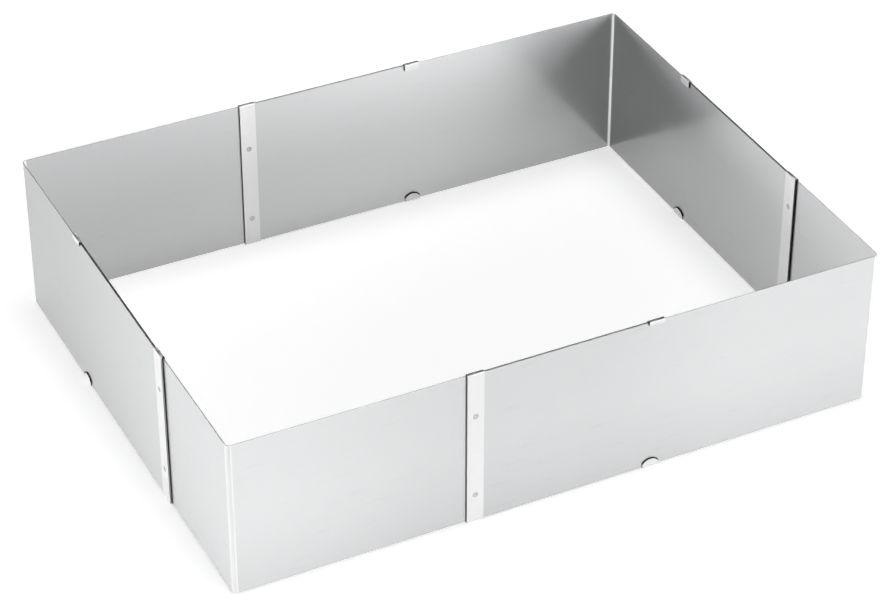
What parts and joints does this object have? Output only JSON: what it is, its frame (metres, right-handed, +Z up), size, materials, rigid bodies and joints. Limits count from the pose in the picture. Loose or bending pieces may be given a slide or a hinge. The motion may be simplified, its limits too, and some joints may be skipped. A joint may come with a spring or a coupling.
{
  "type": "adjustable cake frame",
  "caption": "Open rectangular cake frame of telescoping bent corner sheets, held together by hooked clip strips, adjustable in width and depth.",
  "frame": {"origin": "middle of the frame as it is set, on the surface it stands on, level with the flats under the lower hooks", "axes": "+X along the long front wall to the right, +Y to the back wall, +Z up"},
  "size_m": [0.301, 0.232, 0.076],
  "materials": {
    "corner_steel": "satin rolled stainless sheet",
    "clip_steel": "bright rolled stainless strip",
    "weld_steel": "dull heat-greyed spot weld"
  },
  "bodies": {
    "front_left": {"front_left_corner": "corner_steel", "front_inner_clip": "clip_steel", "front_inner_welds": "weld_steel", "left_inner_clip": "clip_steel", "left_inner_welds": "weld_steel"},
    "front_right": {"front_right_corner": "corner_steel", "front_outer_clip": "clip_steel", "front_outer_welds": "weld_steel", "right_outer_clip": "clip_steel", "right_outer_welds": "weld_steel"},
    "back_left": {"back_left_corner": "corner_steel", "back_outer_clip": "clip_steel", "back_outer_welds": "weld_steel", "left_outer_clip": "clip_steel", "left_outer_welds": "weld_steel"},
    "back_right": {"back_right_corner": "corner_steel", "back_inner_clip": "clip_steel", "back_inner_welds": "weld_steel", "right_inner_clip": "clip_steel", "right_inner_welds": "weld_steel"}
  },
  "joints": [
    {"name": "width_slide", "type": "slide", "parent": "front_left", "child": "front_right", "axis": [1, 0, 0], "range_m": [-0.1018, 0.0752]},
    {"name": "depth_slide", "type": "slide", "parent": "front_left", "child": "back_left", "axis": [0, 1, 0], "range_m": [-0.0628, 0.0842]},
    {"name": "back_right_slide", "type": "slide", "parent": "front_right", "child": "back_right", "axis": [0, 1, 0], "range_m": [-0.0628, 0.0842]}
  ],
  "couplings": [
    {"joint": "back_right_slide", "follows": "depth_slide", "ratio": 1}
  ]
}
